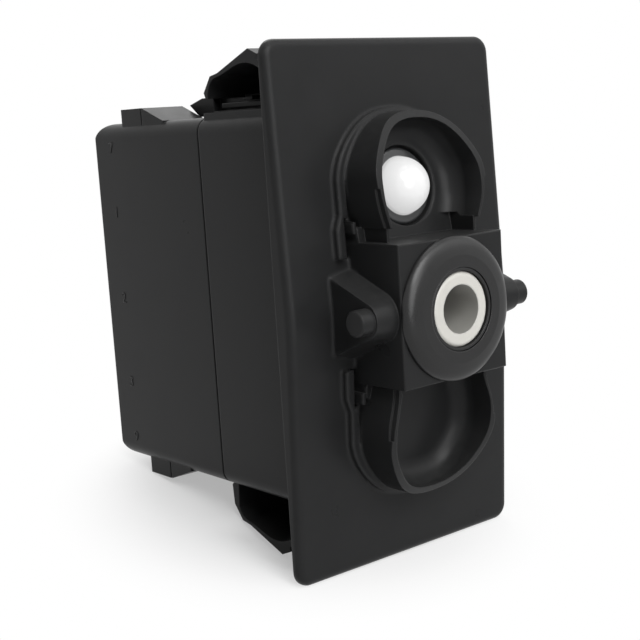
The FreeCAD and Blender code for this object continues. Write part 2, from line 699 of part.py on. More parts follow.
def seal_ring():
    """Rubber ring snapped into the box front, hollowed to a ball for the lip on the lever."""
    back = -BOX_FRONT + BOX_WALL
    rear = back + SEAL_FLANGE_T
    curve = Part.BSplineCurve()
    points = [V(SEAL_R, -BOX_FRONT, 0)] + [V(SEAL_R - inward, y, 0) for inward, y in SEAL_PROFILE]
    curve.interpolate(points)
    corners = [points[-1], V(SEAL_CORE_R, SEAL_FRONT, 0), V(SEAL_CORE_R, -BOX_FRONT, 0), points[0]]
    edges = [curve.toShape()] + [Part.makeLine(p, q) for p, q in zip(corners, corners[1:])]
    ring = Part.Face(Part.Wire(edges)).revolve(V(0, 0, 0), V(0, 1, 0), 360)
    neck = rod(0, 0, -BOX_FRONT - 0.2, back + 0.2, SEAL_HOLE_R - SEAL_GAP)
    flange = rod(0, 0, back, rear, SEAL_FLANGE_R)
    body = ring.fuse([neck, flange])
    ball = Part.makeSphere(SEAL_BALL_R, V(0, PIN_Y, 0))
    half = TRUNNION_R + 3 * TRUNNION_GAP
    notch = cross_rod(PIN_Y, 0, -SEAL_R, SEAL_R, half)
    notch = notch.fuse(block(-SEAL_R, SEAL_R, PIN_Y, rear + 1, -half, half))
    bore = rod(0, 0, SEAL_FRONT - 1, rear + 1, SEAL_BORE_R)
    return body.cut(bore).cut(ball).cut(notch).removeSplitter()


def seal_lip():
    """Rubber lip moulded round the lever's tube, ball-shaped so that it turns inside the ring."""
    ball = Part.makeSphere(LIP_BALL_R, V(0, PIN_Y, 0))
    body = ball.common(rod(0, 0, LIP_FRONT, LIP_REAR, LIP_BALL_R + 1))
    return body.cut(rod(0, 0, LIP_FRONT - 1, LIP_REAR + 1, TUBE_R + LIP_GAP))


def lever():
    """Tilting lever: front tube, trunnions, yoke and the two spring barrels."""
    tube = rod(0, 0, TUBE_FRONT, STEM_Y, TUBE_R)
    tube = rounded(tube, TUBE_LIP_R, lambda p: abs(p.y - TUBE_FRONT) < 1e-6)
    stem = rod(0, 0, STEM_Y - 0.1, YOKE_Y0 + 0.5, STEM_R)
    bore = rod(0, 0, TUBE_FRONT - 1, TUBE_BORE_END, TUBE_BORE_R)
    trunnions = cross_rod(PIN_Y, 0, -TRUNNION_X, TRUNNION_X, TRUNNION_R)
    yoke = block(-POLE_X, POLE_X, YOKE_Y0, YOKE_Y1, -BARREL_R, BARREL_R)
    body = tube.fuse([stem, trunnions, yoke])
    for x in (-POLE_X, POLE_X):
        body = body.fuse(rod(x, 0, YOKE_Y0, BARREL_END, BARREL_R))
        body = body.cut(rod(x, 0, PLUNGER_BORE_Y, BARREL_END + 1, PLUNGER_R + PLUNGER_GAP))
    return body.cut(bore).removeSplitter()


def plunger(x):
    """Round-nosed plunger with a spring pocket."""
    nose = BRIDGE_Y0 - NOSE_GAP
    body = rod(x, 0, PLUNGER_Y0, nose - PLUNGER_R, PLUNGER_R)
    body = body.fuse(Part.makeSphere(PLUNGER_R, V(x, nose - PLUNGER_R, 0)))
    pocket = rod(x, 0, PLUNGER_Y0 - 1, PLUNGER_Y0 + POCKET_DEPTH, PLUNGER_R - POCKET_WALL)
    peg = rod(x, 0, PLUNGER_Y0 - 1, PLUNGER_Y0 + POCKET_DEPTH + BITE, PEG_R)
    sink = rod(x, 0, PLUNGER_Y0 - 1, PLUNGER_Y0 + PEG_SINK, PEG_R + PEG_GAP)
    return body.cut(pocket.cut(peg)).cut(sink).removeSplitter()


def plunger_spring(x):
    """Round-wire compression spring between the barrel's bottom and the plunger."""
    y0 = PLUNGER_BORE_Y + SPRING_WIRE_R + SPRING_SEAT_GAP
    y1 = PLUNGER_Y0 - SPRING_WIRE_R - SPRING_SEAT_GAP
    pitch = (y1 - y0) / SPRING_TURNS
    helix = Part.makeHelix(pitch, y1 - y0, SPRING_R)
    circle = Part.Wire(Part.makeCircle(SPRING_WIRE_R, V(SPRING_R, 0, 0), V(0, 1, 0)))
    coil = Part.Wire(helix.Edges).makePipeShell([circle], True, True)
    coil.rotate(V(0, 0, 0), V(1, 0, 0), -90)
    coil.translate(V(x, y0, 0))
    return coil


def hollow():
    """Centre along Y and radius of the bridge's hollow, from the plunger nose's path over the tilt."""
    nose = BRIDGE_Y0 - NOSE_GAP - PLUNGER_R
    tilt = LEVER_TILT * DEG
    turn = CONTACT_RATIO * tilt
    ahead = PIN_Y + (nose - PIN_Y) * math.cos(tilt) - PIVOT_Y
    aside = (nose - PIN_Y) * math.sin(tilt)
    sag = nose - PIVOT_Y - ahead * math.cos(turn) + aside * math.sin(turn)
    half = ahead * math.sin(turn) + aside * math.cos(turn)
    path = (half * half + sag * sag) / (2 * sag)
    return nose - path, path + PLUNGER_R + NOSE_GAP


def rocker_contact(x):
    """Bent contact bridge that see-saws on its fulcrum; the plunger's nose follows its hollow."""
    half = BRIDGE_W / 2
    cy, r = hollow()
    back = r + BRIDGE_Y1 - BRIDGE_Y0

    def at(radius, z):
        return V(x - half, cy + math.sqrt(radius ** 2 - z ** 2), z)

    front_arc = Part.Arc(at(r, SHOULDER_Z), at(r, 0), at(r, -SHOULDER_Z)).toShape()
    back_arc = Part.Arc(at(back, -SHOULDER_Z), at(back, 0), at(back, SHOULDER_Z)).toShape()
    low = [at(r, -SHOULDER_Z), V(x - half, BRIDGE_Y0, -PAD_Z), V(x - half, BRIDGE_Y0, -BRIDGE_Z),
           V(x - half, BRIDGE_Y1, -BRIDGE_Z), V(x - half, BRIDGE_Y1, -PAD_Z), at(back, -SHOULDER_Z)]
    high = [V(p.x, p.y, -p.z) for p in reversed(low)]
    edges = [front_arc] + [Part.makeLine(a, b) for a, b in zip(low, low[1:])]
    edges += [back_arc] + [Part.makeLine(a, b) for a, b in zip(high, high[1:])]
    bar = Part.Face(Part.Wire(edges)).extrude(V(BRIDGE_W, 0, 0))
    hub = block(x - half, x + half, BRIDGE_Y1 - 0.3, PIVOT_Y, -BRIDGE_HUB_Z, BRIDGE_HUB_Z)
    groove = cross_rod(PIVOT_Y, 0, x - half - 1, x + half + 1, RIDGE_ROD_R + RIDGE_GAP)
    return bar.fuse(hub).cut(groove).removeSplitter()


def moving_tip(x, z):
    """Contact rivet with a domed face."""
    crown = Part.makeSphere(TIP_CROWN_R, V(x, BRIDGE_Y1 + TIP_T - TIP_CROWN_R, z))
    return rod(x, z, BRIDGE_Y1, BRIDGE_Y1 + TIP_T, MOVING_TIP_R).common(crown)


def fixed_tip(x, z):
    front = BRIDGE_Y1 + TIP_T + CONTACT_GAP
    return rod(x, z, front, front + TIP_T, FIXED_TIP_R)


def blade(x, z, y0):
    """Tab along Y with a bevelled end."""
    w = BLADE_W / 2
    low = z - BLADE_T / 2
    bevel_y = BLADE_END - BLADE_BEVEL
    pts = [V(x - w, y0, low), V(x - w, bevel_y, low), V(x - w + BLADE_BEVEL, BLADE_END, low),
           V(x + w - BLADE_BEVEL, BLADE_END, low), V(x + w, bevel_y, low), V(x + w, y0, low)]
    body = Part.Face(Part.makePolygon(pts + pts[:1])).extrude(V(0, 0, BLADE_T))
    hole = Part.makeCylinder(BLADE_HOLE_R, 2 * BLADE_T, V(x, BLADE_END - BLADE_HOLE_IN, z - BLADE_T))
    return body.cut(hole)


def common_terminal(x):
    """Middle terminal with the rounded fulcrum ridge."""
    tab = blade(x, 0, PIVOT_Y)
    trim = BRIDGE_W / 2 - FULCRUM_TRIM
    for side in (-1, 1):
        cut_x = x + side * (trim + FULCRUM_L)
        tab = tab.cut(block(cut_x - FULCRUM_L, cut_x + FULCRUM_L, PIVOT_Y - 1, PIVOT_Y + FULCRUM_L, -1, 1))
    return tab.fuse(cross_rod(PIVOT_Y, 0, x - trim, x + trim, RIDGE_ROD_R)).removeSplitter()


def contact_terminal(x, z):
    """Outer terminal with the bent pad that carries the fixed tip."""
    y0 = BRIDGE_Y1 + 2 * TIP_T + CONTACT_GAP
    sign = 1 if z > 0 else -1
    ends = sorted((z + sign * BLADE_T / 2, sign * (CONTACT_Z - FIXED_TIP_R - PAD_PAST)))
    pad = block(x - PAD_X, x + PAD_X, y0, y0 + BLADE_T, ends[0], ends[1])
    return blade(x, z, y0).fuse(pad).removeSplitter()


def lamp_terminal(x):
    return blade(x, LAMP_ROW_Z, LAMP_BLADE_Y)


def lamp_lens():
    """White domed lens with a front collar and a pocket for the lamp."""
    dome = Part.makeSphere(LENS_R, lamp_point(LENS_SINK))
    stem = lamp_rod(LENS_SINK, LENS_END, LENS_R)
    keep = lamp_rod(-LENS_R, LENS_END, LENS_R)
    body = dome.common(keep).fuse(stem)
    collar = lamp_rod(COLLAR_DEPTH, RECESS_DEPTH - LENS_GAP, COLLAR_R)
    front = lamp_point(COLLAR_DEPTH)
    collar = rounded(collar, COLLAR_EDGE_R, lambda p: abs(p.sub(front).dot(lamp_dir())) < 1e-6)
    pocket = lamp_rod(LED_CROWN - LED_BORE_R, LENS_END + 1, LED_BORE_R)
    return body.fuse(collar).cut(pocket).removeSplitter()


def seat_depth():
    """Depth along the lamp axis at which the boss round the lens ends."""
    t = CUP_TILT * DEG
    return (FLOOR_T - floor_y(LAMP_Z) + LENS_BOSS_SEAT_R * math.sin(t)) / math.cos(t)


def lamp_led():
    body = Part.makeSphere(LED_R, lamp_point(LED_CROWN)).fuse(lamp_rod(LED_CROWN, LENS_END + 0.2, LED_R))
    return body.fuse(lamp_rod(LENS_END, LENS_END + LED_FLANGE_T, LED_FLANGE_R)).removeSplitter()


def wire_path(points, r):
    """Round wire along a broken line, with ball corners."""
    parts = [Part.makeSphere(r, p) for p in points[1:-1]]
    for a, b in zip(points, points[1:]):
        d = b.sub(a)
        parts.append(Part.makeCylinder(r, d.Length, a, d))
    return parts[0].fuse(parts[1:]).removeSplitter()


def lead_start(side, depth):
    """Point on a lamp lead, depth behind the lamp's flange."""
    p = lamp_point(LENS_END + LED_FLANGE_T + depth)
    return V(side * LEAD_X, p.y, p.z)


def lead_end(side):
    return V(side * POLE_X, LAMP_BLADE_Y + LEAD_LAP, LAMP_ROW_Z - BLADE_T / 2 - LEAD_R)


def resistor_ends():
    """Ends of the series resistor on the right-hand lead."""
    return V(POLE_X, RESISTOR_Y, RESISTOR_Z), V(POLE_X, RESISTOR_Y + RESISTOR_L, RESISTOR_Z)


def lamp_lead_left():
    end = lead_end(-1)
    knee = V(-POLE_X, LEAD_KNEE_Y, end.z - LEAD_KNEE_DROP)
    return wire_path([lead_start(-1, 0), lead_start(-1, LEAD_STRAIGHT), knee,
                      V(-POLE_X, LAMP_BLADE_Y - LEAD_RUN, end.z), end], LEAD_R)


def lamp_lead_right():
    first, _ = resistor_ends()
    return wire_path([lead_start(1, 0), lead_start(1, LEAD_STRAIGHT),
                      V(POLE_X, first.y - LEAD_NEAR, first.z), first], LEAD_R)


def lamp_lead_tail():
    _, last = resistor_ends()
    end = lead_end(1)
    return wire_path([last, V(POLE_X, last.y + LEAD_RUN, last.z),
                      V(POLE_X, LAMP_BLADE_Y - LEAD_LAP, end.z), end], LEAD_R)


def lamp_resistor():
    a, b = resistor_ends()
    body = rod(a.x, a.z, a.y, b.y, RESISTOR_R)
    return rounded(body, RESISTOR_END_R, lambda p: abs(p.y - a.y) < 1e-6 or abs(p.y - b.y) < 1e-6)


def all_parts():
    parts = {
        "bracket": bracket(),
        "rear_base": rear_base(),
        "seal_ring": seal_ring(),
        "seal_lip": seal_lip(),
        "lever": lever(),
        "lamp_lens": lamp_lens(),
        "lamp_led": lamp_led(),
        "lamp_resistor": lamp_resistor(),
        "lamp_lead_left": lamp_lead_left(),
        "lamp_lead_right": lamp_lead_right(),
        "lamp_lead_tail": lamp_lead_tail(),
    }
    for side, x in (("left", -POLE_X), ("right", POLE_X)):
        parts["plunger_" + side] = plunger(x)
        parts["plunger_spring_" + side] = plunger_spring(x)
        parts["rocker_contact_" + side] = rocker_contact(x)
        for end, z in (("upper", CONTACT_Z), ("lower", -CONTACT_Z)):
            parts["moving_tip_" + side + "_" + end] = moving_tip(x, z)
            parts["fixed_tip_" + side + "_" + end] = fixed_tip(x, z)
    for number, x, z in terminal_places():
        if number > 6:
            shape = lamp_terminal(x)
        elif z == 0.0:
            shape = common_terminal(x)
        else:
            shape = contact_terminal(x, z)
        parts["terminal_" + str(number)] = shape
    return parts


def main():
    os.makedirs("parts", exist_ok=True)
    for name, shape in all_parts().items():
        print(name, "solids", len(shape.Solids), "volume", round(shape.Volume, 2), "valid", shape.isValid())
        shape.exportStep("parts/" + name + ".step")


main()
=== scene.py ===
"""Looks of a sealed panel rocker switch without its cap, on a white studio floor.

Everything is in metres in the part's own frame: X to the right seen from the front, Y back
through the panel, Z up, and the origin in the middle of the plane where the plate meets the panel.
Fields whose names end in _mm are in millimetres.
"""
import logging
import math
from dataclasses import dataclass, field
from enum import Enum
from typing import Iterable

import bpy
import numpy as np
from mathutils import Matrix, Vector


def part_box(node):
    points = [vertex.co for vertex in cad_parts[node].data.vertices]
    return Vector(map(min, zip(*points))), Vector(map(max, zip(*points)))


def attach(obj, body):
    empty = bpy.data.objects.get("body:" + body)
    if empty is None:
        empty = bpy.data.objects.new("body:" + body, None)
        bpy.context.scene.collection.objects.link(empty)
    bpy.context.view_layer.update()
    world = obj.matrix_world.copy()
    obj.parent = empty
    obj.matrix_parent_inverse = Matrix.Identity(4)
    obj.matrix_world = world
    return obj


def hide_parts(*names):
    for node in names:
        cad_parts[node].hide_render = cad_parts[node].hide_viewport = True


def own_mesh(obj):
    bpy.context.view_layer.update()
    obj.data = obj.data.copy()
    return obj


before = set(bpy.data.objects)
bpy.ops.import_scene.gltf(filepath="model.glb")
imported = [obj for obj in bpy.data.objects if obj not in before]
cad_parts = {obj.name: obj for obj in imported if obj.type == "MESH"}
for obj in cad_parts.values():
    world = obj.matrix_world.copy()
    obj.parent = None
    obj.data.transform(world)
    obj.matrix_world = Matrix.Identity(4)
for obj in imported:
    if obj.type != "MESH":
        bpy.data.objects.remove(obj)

log = logging.getLogger("rocker_switch")

MM = 0.001
SIDES = ("left", "right")
ENDS = ("upper", "lower")
Colour = tuple[float, float, float]
Place = tuple[float, float, float]
NO_GLOW: Colour = (0.0, 0.0, 0.0)
# Colour of dust, which also paints light on faces that look up.
DUST_AND_TOP_LIGHT_COLOUR: Colour = (0.4, 0.4, 0.39)
SWELL_SCALE = 260.0


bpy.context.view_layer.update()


# Meshes


def add_object(name: str, data: bpy.types.ID) -> bpy.types.Object:
    """Makes an object and links it to the scene.

    Args:
        name: its name.
        data: its mesh, camera or light.

    Returns:
        The new object.
    """
    obj = bpy.data.objects.new(name, data)
    bpy.context.scene.collection.objects.link(obj)
    return obj


class Surface:
    """A piece of the scene made from a grid of points."""

    def __init__(self, name: str, points: np.ndarray, closed_u: bool, closed_v: bool) -> None:
        """Keeps the grid.

        Args:
            name: name of the piece.
            points: array of shape (rows, columns, 3), in metres.
            closed_u: whether the last row joins the first.
            closed_v: whether the last column joins the first.
        """
        self.name = name
        self.points = points
        self.closed_u = closed_u
        self.closed_v = closed_v

    def faces(self) -> np.ndarray:
        """Joins each row and column to the next. The quad at (u, v) has its corners at (u, v),
        (u, v + 1), (u + 1, v + 1) and (u + 1, v), counted round where the grid is closed.

        Returns:
            Array of shape (quads, 4) with the points' numbers.
        """
        rows, columns = self.points.shape[:2]
        u = np.arange(rows if self.closed_u else rows - 1)
        v = np.arange(columns if self.closed_v else columns - 1)
        a, b = np.meshgrid(u, v, indexing="ij")
        a2, b2 = (a + 1) % rows, (b + 1) % columns
        corners = (a * columns + b, a * columns + b2, a2 * columns + b2, a2 * columns + b)
        return np.stack(corners, -1).reshape(-1, 4)

    def build(self, material: bpy.types.Material) -> bpy.types.Object:
        """Makes the object, smooth shaded.

        Args:
            material: its finish.

        Returns:
            The new object.
        """
        mesh = bpy.data.meshes.new(self.name)
        mesh.from_pydata(self.points.reshape(-1, 3).tolist(), [], self.faces().tolist())
        mesh.validate()
        mesh.polygons.foreach_set("use_smooth", np.ones(len(mesh.polygons), dtype=bool))
        mesh.materials.append(material)
        log.info("made %s with %d faces", self.name, len(mesh.polygons))
        return add_object(self.name, mesh)


# Finishes


class Graph:
    """Short-hand for building a node tree."""

    def __init__(self, tree: bpy.types.NodeTree) -> None:
        """Keeps the tree."""
        self.tree = tree

    def add(self, kind: str, **settings: object) -> bpy.types.Node:
        """Adds a node.

        Args:
            kind: Blender's name of the node type.
            settings: attributes of the node, or values of its inputs with _ for a space.

        Returns:
            The node.
        """
        node = self.tree.nodes.new(kind)
        for key, value in settings.items():
            if hasattr(node, key) and key not in node.inputs:
                setattr(node, key, value)
            else:
                node.inputs[key.replace("_", " ")].default_value = value
        return node

    def link(self, source: bpy.types.NodeSocket, target: bpy.types.NodeSocket) -> None:
        """Joins two sockets."""
        self.tree.links.new(source, target)

    def feed(self, target: bpy.types.NodeSocket, value: object) -> None:
        """Gives an input its value.

        Args:
            target: the input.
            value: a socket to join it to, or a plain value.
        """
        if isinstance(value, bpy.types.NodeSocket):
            self.link(value, target)
        else:
            target.default_value = value

    def place(self) -> bpy.types.NodeSocket:
        """Returns the object coordinates."""
        return self.add("ShaderNodeTexCoord").outputs["Object"]

    def maths(self, operation: str, a: object, b: object = 0.0, clamp: bool = False) -> bpy.types.NodeSocket:
        """Adds a Math node.

        Args:
            operation: what it does.
            a: first value or socket.
            b: second value or socket.
            clamp: whether the result stays between 0 and 1.

        Returns:
            Its output.
        """
        node = self.add("ShaderNodeMath", operation=operation, use_clamp=clamp)
        self.feed(node.inputs[0], a)
        self.feed(node.inputs[1], b)
        return node.outputs[0]

    def swing(self, noise: bpy.types.NodeSocket, middle: float, size: float,
              clamp: bool = False) -> bpy.types.NodeSocket:
        """Returns middle plus size times what a noise is above a half."""
        away = self.maths("MULTIPLY", self.maths("SUBTRACT", noise, 0.5), size)
        return self.maths("ADD", away, middle, clamp=clamp)

    def vector(self, operation: str, a: bpy.types.NodeSocket, b: bpy.types.NodeSocket) -> bpy.types.Node:
        """Adds a Vector Math node.

        Args:
            operation: what it does.
            a: first vector.
            b: second vector.

        Returns:
            The node.
        """
        node = self.add("ShaderNodeVectorMath", operation=operation)
        self.link(a, node.inputs[0])
        self.link(b, node.inputs[1])
        return node

    def smooth_step(self, value: bpy.types.NodeSocket, low: object, high: object) -> bpy.types.NodeSocket:
        """Adds a smooth step from 0 to 1.

        Args:
            value: socket that is compared.
            low: value or socket where the step starts.
            high: value or socket where it ends.

        Returns:
            Its output.
        """
        node = self.add("ShaderNodeMapRange", interpolation_type="SMOOTHSTEP")
        self.link(value, node.inputs["Value"])
        self.feed(node.inputs["From Min"], low)
        self.feed(node.inputs["From Max"], high)
        return node.outputs["Result"]

    def blend(self, factor: bpy.types.NodeSocket, a: object, b: object) -> bpy.types.NodeSocket:
        """Adds a colour mix.

        Args:
            factor: how much of b.
            a: first colour or socket.
            b: second colour or socket.

        Returns:
            The mixed colour.
        """
        node = self.add("ShaderNodeMix", data_type="RGBA")
        self.link(factor, node.inputs[0])
        for socket, value in ((node.inputs[6], a), (node.inputs[7], b)):
            self.feed(socket, value if isinstance(value, bpy.types.NodeSocket) else (*value, 1.0))
        return node.outputs[2]

    def mix_shaders(self, factor: bpy.types.NodeSocket, a: bpy.types.Node,
                    b: bpy.types.Node) -> bpy.types.Node:
        """Adds a shader mix.

        Args:
            factor: how much of b.
            a: first shader.
            b: second shader.

        Returns:
            The mixed shader.
        """
        node = self.add("ShaderNodeMixShader")
        for source, target in zip((factor, a.outputs[0], b.outputs[0]), node.inputs):
            self.link(source, target)
        return node

    def group(self, tree: bpy.types.NodeTree, **values: object) -> bpy.types.Node:
        """Returns a node of a group, with the values of its inputs."""
        return self.add("ShaderNodeGroup", node_tree=tree, **values)

    def grained(self, shader: bpy.types.Node, height: bpy.types.NodeSocket, depth: float,
                normal: bpy.types.NodeSocket) -> None:
        """Gives a shader fine relief.

        Args:
            shader: the shader.
            height: the relief.
            depth: its depth in metres.
            normal: the normal under it.
        """
        bump = self.add("ShaderNodeBump", Strength=1.0, Distance=depth)
        self.link(height, bump.inputs["Height"])
        self.link(normal, bump.inputs["Normal"])
        self.link(bump.outputs["Normal"], shader.inputs["Normal"])


class Group(Graph):
    """A shader node group with named sockets."""

    def __init__(self, name: str, inputs: dict[str, float | Place], outputs: dict[str, str]) -> None:
        """Starts the group.

        Args:
            name: name of the group.
            inputs: input names with their default values, a number or a vector.
            outputs: output names with their socket types.
        """
        super().__init__(bpy.data.node_groups.new(name, "ShaderNodeTree"))
        for key, value in inputs.items():
            kind = "NodeSocketVector" if isinstance(value, tuple) else "NodeSocketFloat"
            socket = self.tree.interface.new_socket(key, in_out="INPUT", socket_type=kind)
            socket.default_value = value
        for key, kind in outputs.items():
            self.tree.interface.new_socket(key, in_out="OUTPUT", socket_type=kind)
        self.given = self.add("NodeGroupInput").outputs
        self.result = self.add("NodeGroupOutput").inputs

    def noise(self, scale: object, **settings: float) -> bpy.types.NodeSocket:
        """Adds a noise on object coordinates.

        Args:
            scale: its scale, a value or a socket.
            settings: values of its other inputs.

        Returns:
            Its value.
        """
        node = self.add("ShaderNodeTexNoise", **settings)
        self.link(self.place(), node.inputs["Vector"])
        self.feed(node.inputs["Scale"], scale)
        return node.outputs["Fac"]


def spark_grain_group() -> bpy.types.NodeTree:
    """Texture of a spark-eroded mould: fine cells over a slower swell.

    Height is the distance in a cell pattern plus a fine noise plus Swell times a slower noise, all on
    object coordinates. Mottle is the slower noise.

    Returns:
        The group, with inputs Scale and Swell and outputs Height and Mottle.
    """
    g = Group("spark_grain", {"Scale": 9000.0, "Swell": 0.35},
              {"Height": "NodeSocketFloat", "Mottle": "NodeSocketFloat"})
    cells = g.add("ShaderNodeTexVoronoi", feature="F1")
    g.link(g.place(), cells.inputs["Vector"])
    g.link(g.given["Scale"], cells.inputs["Scale"])
    fine = g.noise(g.given["Scale"], Detail=3.0, Roughness=0.6)
    slow = g.noise(SWELL_SCALE, Detail=4.0, Roughness=0.55)
    relief = g.maths("ADD", cells.outputs["Distance"], fine)
    g.link(g.maths("ADD", relief, g.maths("MULTIPLY", slow, g.given["Swell"])), g.result["Height"])
    g.link(slow, g.result["Mottle"])
    return g.tree


def edge_polish_group() -> bpy.types.NodeTree:
    """Mask of the edges, which rub bright and on mouldings also carry a painted highlight: how far a
    rounded normal leaves the true one.

    Edge is one minus the dot product of the two normals, raised by a gain; Normal is the rounded one.

    Returns:
        The group, with inputs Radius and Gain and outputs Edge and Normal.
    """
    g = Group("edge_polish", {"Radius": 0.00015, "Gain": 6.0},
              {"Edge": "NodeSocketFloat", "Normal": "NodeSocketVector"})
    soft = g.add("ShaderNodeBevel", samples=6)
    g.link(g.given["Radius"], soft.inputs["Radius"])
    true = g.add("ShaderNodeNewGeometry").outputs["True Normal"]
    same = g.vector("DOT_PRODUCT", soft.outputs["Normal"], true).outputs["Value"]
    away = g.maths("SUBTRACT", 1.0, same, clamp=True)
    g.link(g.maths("MULTIPLY", away, g.given["Gain"], clamp=True), g.result["Edge"])
    g.link(soft.outputs["Normal"], g.result["Normal"])
    return g.tree


def dust_and_top_light_group() -> bpy.types.NodeTree:
    """Thin dust and painted top light on surfaces that face up: the normal's Z times a patchy noise.

    Returns:
        The group, with inputs Amount and Patch and output Mask.
    """
    g = Group("dust_and_painted_top_light", {"Amount": 0.1, "Patch": 900.0}, {"Mask": "NodeSocketFloat"})
    parts = g.add("ShaderNodeSeparateXYZ")
    g.link(g.add("ShaderNodeNewGeometry").outputs["Normal"], parts.inputs[0])
    up = g.maths("MAXIMUM", parts.outputs["Z"], 0.0)
    patchy = g.maths("MULTIPLY", up, g.noise(g.given["Patch"], Detail=5.0, Roughness=0.7))
    g.link(g.maths("MULTIPLY", patchy, g.given["Amount"], clamp=True), g.result["Mask"])
    return g.tree


def round_zone_group() -> bpy.types.NodeTree:
    """Zone outside a cylinder round an axis. With v from the centre to the point and a the axis, the
    distance is the length of v less a times (v dot a), and a smooth step over Blur gives the mask.

    Returns:
        The group, with inputs Centre, Axis, Radius and Blur and output Outside.
    """
    g = Group("round_zone", {"Centre": (0.0, 0.0, 0.0), "Axis": (0.0, 1.0, 0.0), "Radius": 0.001,
                             "Blur": 0.0001}, {"Outside": "NodeSocketFloat"})
    away = g.vector("SUBTRACT", g.place(), g.given["Centre"]).outputs[0]
    along = g.add("ShaderNodeVectorMath", operation="SCALE")
    g.link(g.given["Axis"], along.inputs[0])
    g.link(g.vector("DOT_PRODUCT", away, g.given["Axis"]).outputs["Value"], along.inputs["Scale"])
    size = g.add("ShaderNodeVectorMath", operation="LENGTH")
    g.link(g.vector("SUBTRACT", away, along.outputs[0]).outputs[0], size.inputs[0])
    inner = g.maths("SUBTRACT", g.given["Radius"], g.given["Blur"])
    outer = g.maths("ADD", g.given["Radius"], g.given["Blur"])
    g.link(g.smooth_step(size.outputs["Value"], inner, outer), g.result["Outside"])
    return g.tree


def level_zone_group() -> bpy.types.NodeTree:
    """Zone between two levels along Y: a smooth step up over Blur at Low times a step down at High.

    Returns:
        The group, with inputs Low, High and Blur and output Inside.
    """
    g = Group("level_zone", {"Low": -0.001, "High": 0.001, "Blur": 0.0002}, {"Inside": "NodeSocketFloat"})
    parts = g.add("ShaderNodeSeparateXYZ")
    g.link(g.place(), parts.inputs[0])
    past_low, past_high = (
        g.smooth_step(parts.outputs["Y"], level, g.maths("ADD", level, g.given["Blur"]))
        for level in (g.given["Low"], g.given["High"]))
    g.link(g.maths("MULTIPLY", past_low, g.maths("SUBTRACT", 1.0, past_high)), g.result["Inside"])
    return g.tree


class Effects:
    """The shader groups that several finishes share, each built once."""

    def __init__(self) -> None:
        """Builds the groups."""
        self.grain = spark_grain_group()
        self.edges = edge_polish_group()
        self.dust_and_top_light = dust_and_top_light_group()
        self.painted_shade_zone = round_zone_group()
        self.level = level_zone_group()


def new_material(name: str) -> tuple[bpy.types.Material, Graph, bpy.types.NodeSocket]:
    """Starts a material.

    Args:
        name: name of the material.

    Returns:
        The material, a graph on its tree, and the socket that takes its shader.
    """
    material = bpy.data.materials.new(name)
    material.use_nodes = True
    material.node_tree.nodes.clear()
    g = Graph(material.node_tree)
    return material, g, g.add("ShaderNodeOutputMaterial").inputs["Surface"]


def new_finish(name: str, **settings: float) -> tuple[bpy.types.Material, Graph, bpy.types.Node]:
    """Starts a material with one Principled shader.

    Args:
        name: name of the material.
        settings: values of the shader's inputs with _ for a space.

    Returns:
        The material, a graph on its tree, and the shader.
    """
    material, g, surface = new_material(name)
    shader = g.add("ShaderNodeBsdfPrincipled", **settings)
    g.link(shader.outputs[0], surface)
    return material, g, shader


def shade(colour: Colour, factor: float) -> Colour:
    """Returns the colour times a factor, at most white."""
    return tuple(min(c * factor, 1.0) for c in colour)


